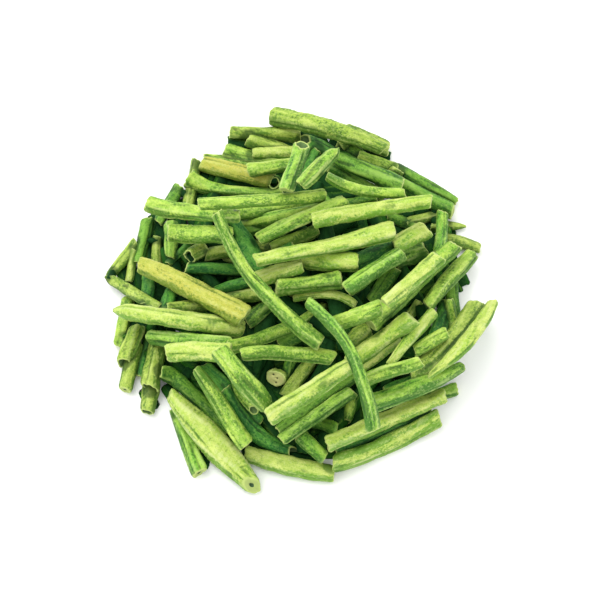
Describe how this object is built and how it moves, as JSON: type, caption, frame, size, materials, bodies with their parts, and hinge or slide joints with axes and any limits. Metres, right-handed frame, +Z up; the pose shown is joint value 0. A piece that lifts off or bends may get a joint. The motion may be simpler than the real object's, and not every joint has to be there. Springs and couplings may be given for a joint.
{
  "type": "yardlong bean bunch",
  "caption": "Loose heap of dried yardlong bean cut into short lengths, lying across one another in a low mound.",
  "frame": {"origin": "on the surface that the heap lies on, under the middle of its footprint", "axes": "+Z up, +X to the picture's right, -Y toward the picture's viewer"},
  "size_m": [0.1658, 0.176, 0.0599],
  "materials": {
    "deep_skin": "dried deep green pod skin of the lengths lower in the heap, matte",
    "green_skin": "dried mid green pod skin, wrinkled and matte",
    "lime_skin": "dried lime green pod skin, wrinkled and matte",
    "mid_skin": "dried darker green pod skin, wrinkled and matte",
    "olive_skin": "dried olive pod skin, speckled and matte",
    "pale_skin": "dried pale lime pod skin, wrinkled and matte",
    "yellow_skin": "dried yellowish pod skin, wrinkled and matte"
  },
  "bodies": {
    "root": {"far_bean_21": "lime_skin", "far_bean_22": "olive_skin", "far_bean_23": "mid_skin", "far_bean_24": "deep_skin", "far_bean_25": "lime_skin", "far_bean_26": "olive_skin", "far_bean_27": "green_skin", "far_bean_28": "lime_skin", "far_bean_29": "lime_skin", "far_bean_30": "lime_skin", "far_bean_31": "pale_skin", "far_bean_32": "pale_skin", "front_bean_12": "mid_skin", "front_bean_13": "green_skin", "front_bean_14": "lime_skin", "front_bean_15": "lime_skin", "front_bean_16": "green_skin", "front_bean_17": "lime_skin", "front_bean_18": "pale_skin", "front_bean_19": "pale_skin", "front_bean_20": "pale_skin", "front_bean_21": "green_skin", "left_bean_24": "pale_skin", "left_bean_25": "lime_skin", "left_bean_26": "lime_skin", "left_bean_27": "pale_skin", "left_bean_28": "green_skin", "left_bean_29": "yellow_skin", "lower_beans": "deep_skin", "middle_bean_07": "deep_skin", "middle_bean_08": "pale_skin", "middle_bean_09": "pale_skin", "middle_bean_10": "pale_skin", "middle_bean_11": "lime_skin", "middle_bean_12": "lime_skin", "middle_bean_13": "lime_skin", "middle_bean_14": "lime_skin", "middle_bean_15": "lime_skin", "right_bean_16": "pale_skin", "right_bean_17": "green_skin", "right_bean_18": "pale_skin", "right_bean_19": "lime_skin", "right_bean_20": "olive_skin", "right_bean_21": "green_skin", "right_bean_23": "lime_skin", "right_bean_24": "yellow_skin", "right_bean_25": "pale_skin", "right_bean_26": "green_skin", "right_bean_27": "pale_skin", "right_bean_28": "lime_skin", "right_bean_29": "lime_skin", "right_bean_30": "pale_skin"}
  },
  "joints": []
}
